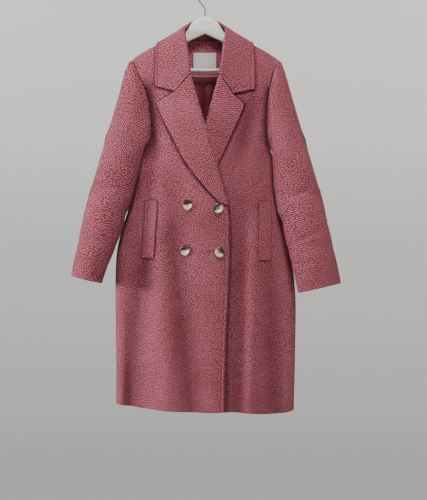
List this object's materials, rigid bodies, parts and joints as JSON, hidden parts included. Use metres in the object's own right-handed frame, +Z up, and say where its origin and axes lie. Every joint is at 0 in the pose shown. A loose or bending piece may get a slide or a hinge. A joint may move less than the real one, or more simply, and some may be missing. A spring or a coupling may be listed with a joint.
{
  "type": "long double-breasted coat on a hanger",
  "caption": "Long double-breasted tweed coat with notched lapels and welt pockets, hanging on a plain clothes hanger.",
  "frame": {"origin": "the inner top of the hanger's hook, where a rail or peg carries the coat", "axes": "+Z up, the coat's front faces -Y, +X to the wearer's left"},
  "size_m": [0.7581, 0.1357, 1.2189],
  "materials": {
    "tweed": "pink herringbone tweed, napped",
    "tweed_turned": "pink herringbone tweed, pressed and topstitched",
    "satin": "dark red satin",
    "label_cloth": "pale grey woven tape",
    "horn": "marbled brown and cream, polished",
    "hanger_paint": "white, satin",
    "hook_steel": "bright wire"
  },
  "bodies": {
    "root": {"front_right": "tweed", "front_left": "tweed", "back": "tweed", "sleeve_right": "tweed", "sleeve_left": "tweed", "lapel_right": "tweed_turned", "lapel_left": "tweed_turned", "collar": "tweed_turned", "pocket_right": "tweed_turned", "pocket_left": "tweed_turned", "neck_facing": "tweed_turned", "back_lining": "satin", "neck_label": "label_cloth", "button_1": "horn", "button_2": "horn", "button_3": "horn", "button_4": "horn", "hanger_body": "hanger_paint", "hanger_bar": "hanger_paint", "hanger_hook": "hook_steel"}
  },
  "joints": []
}
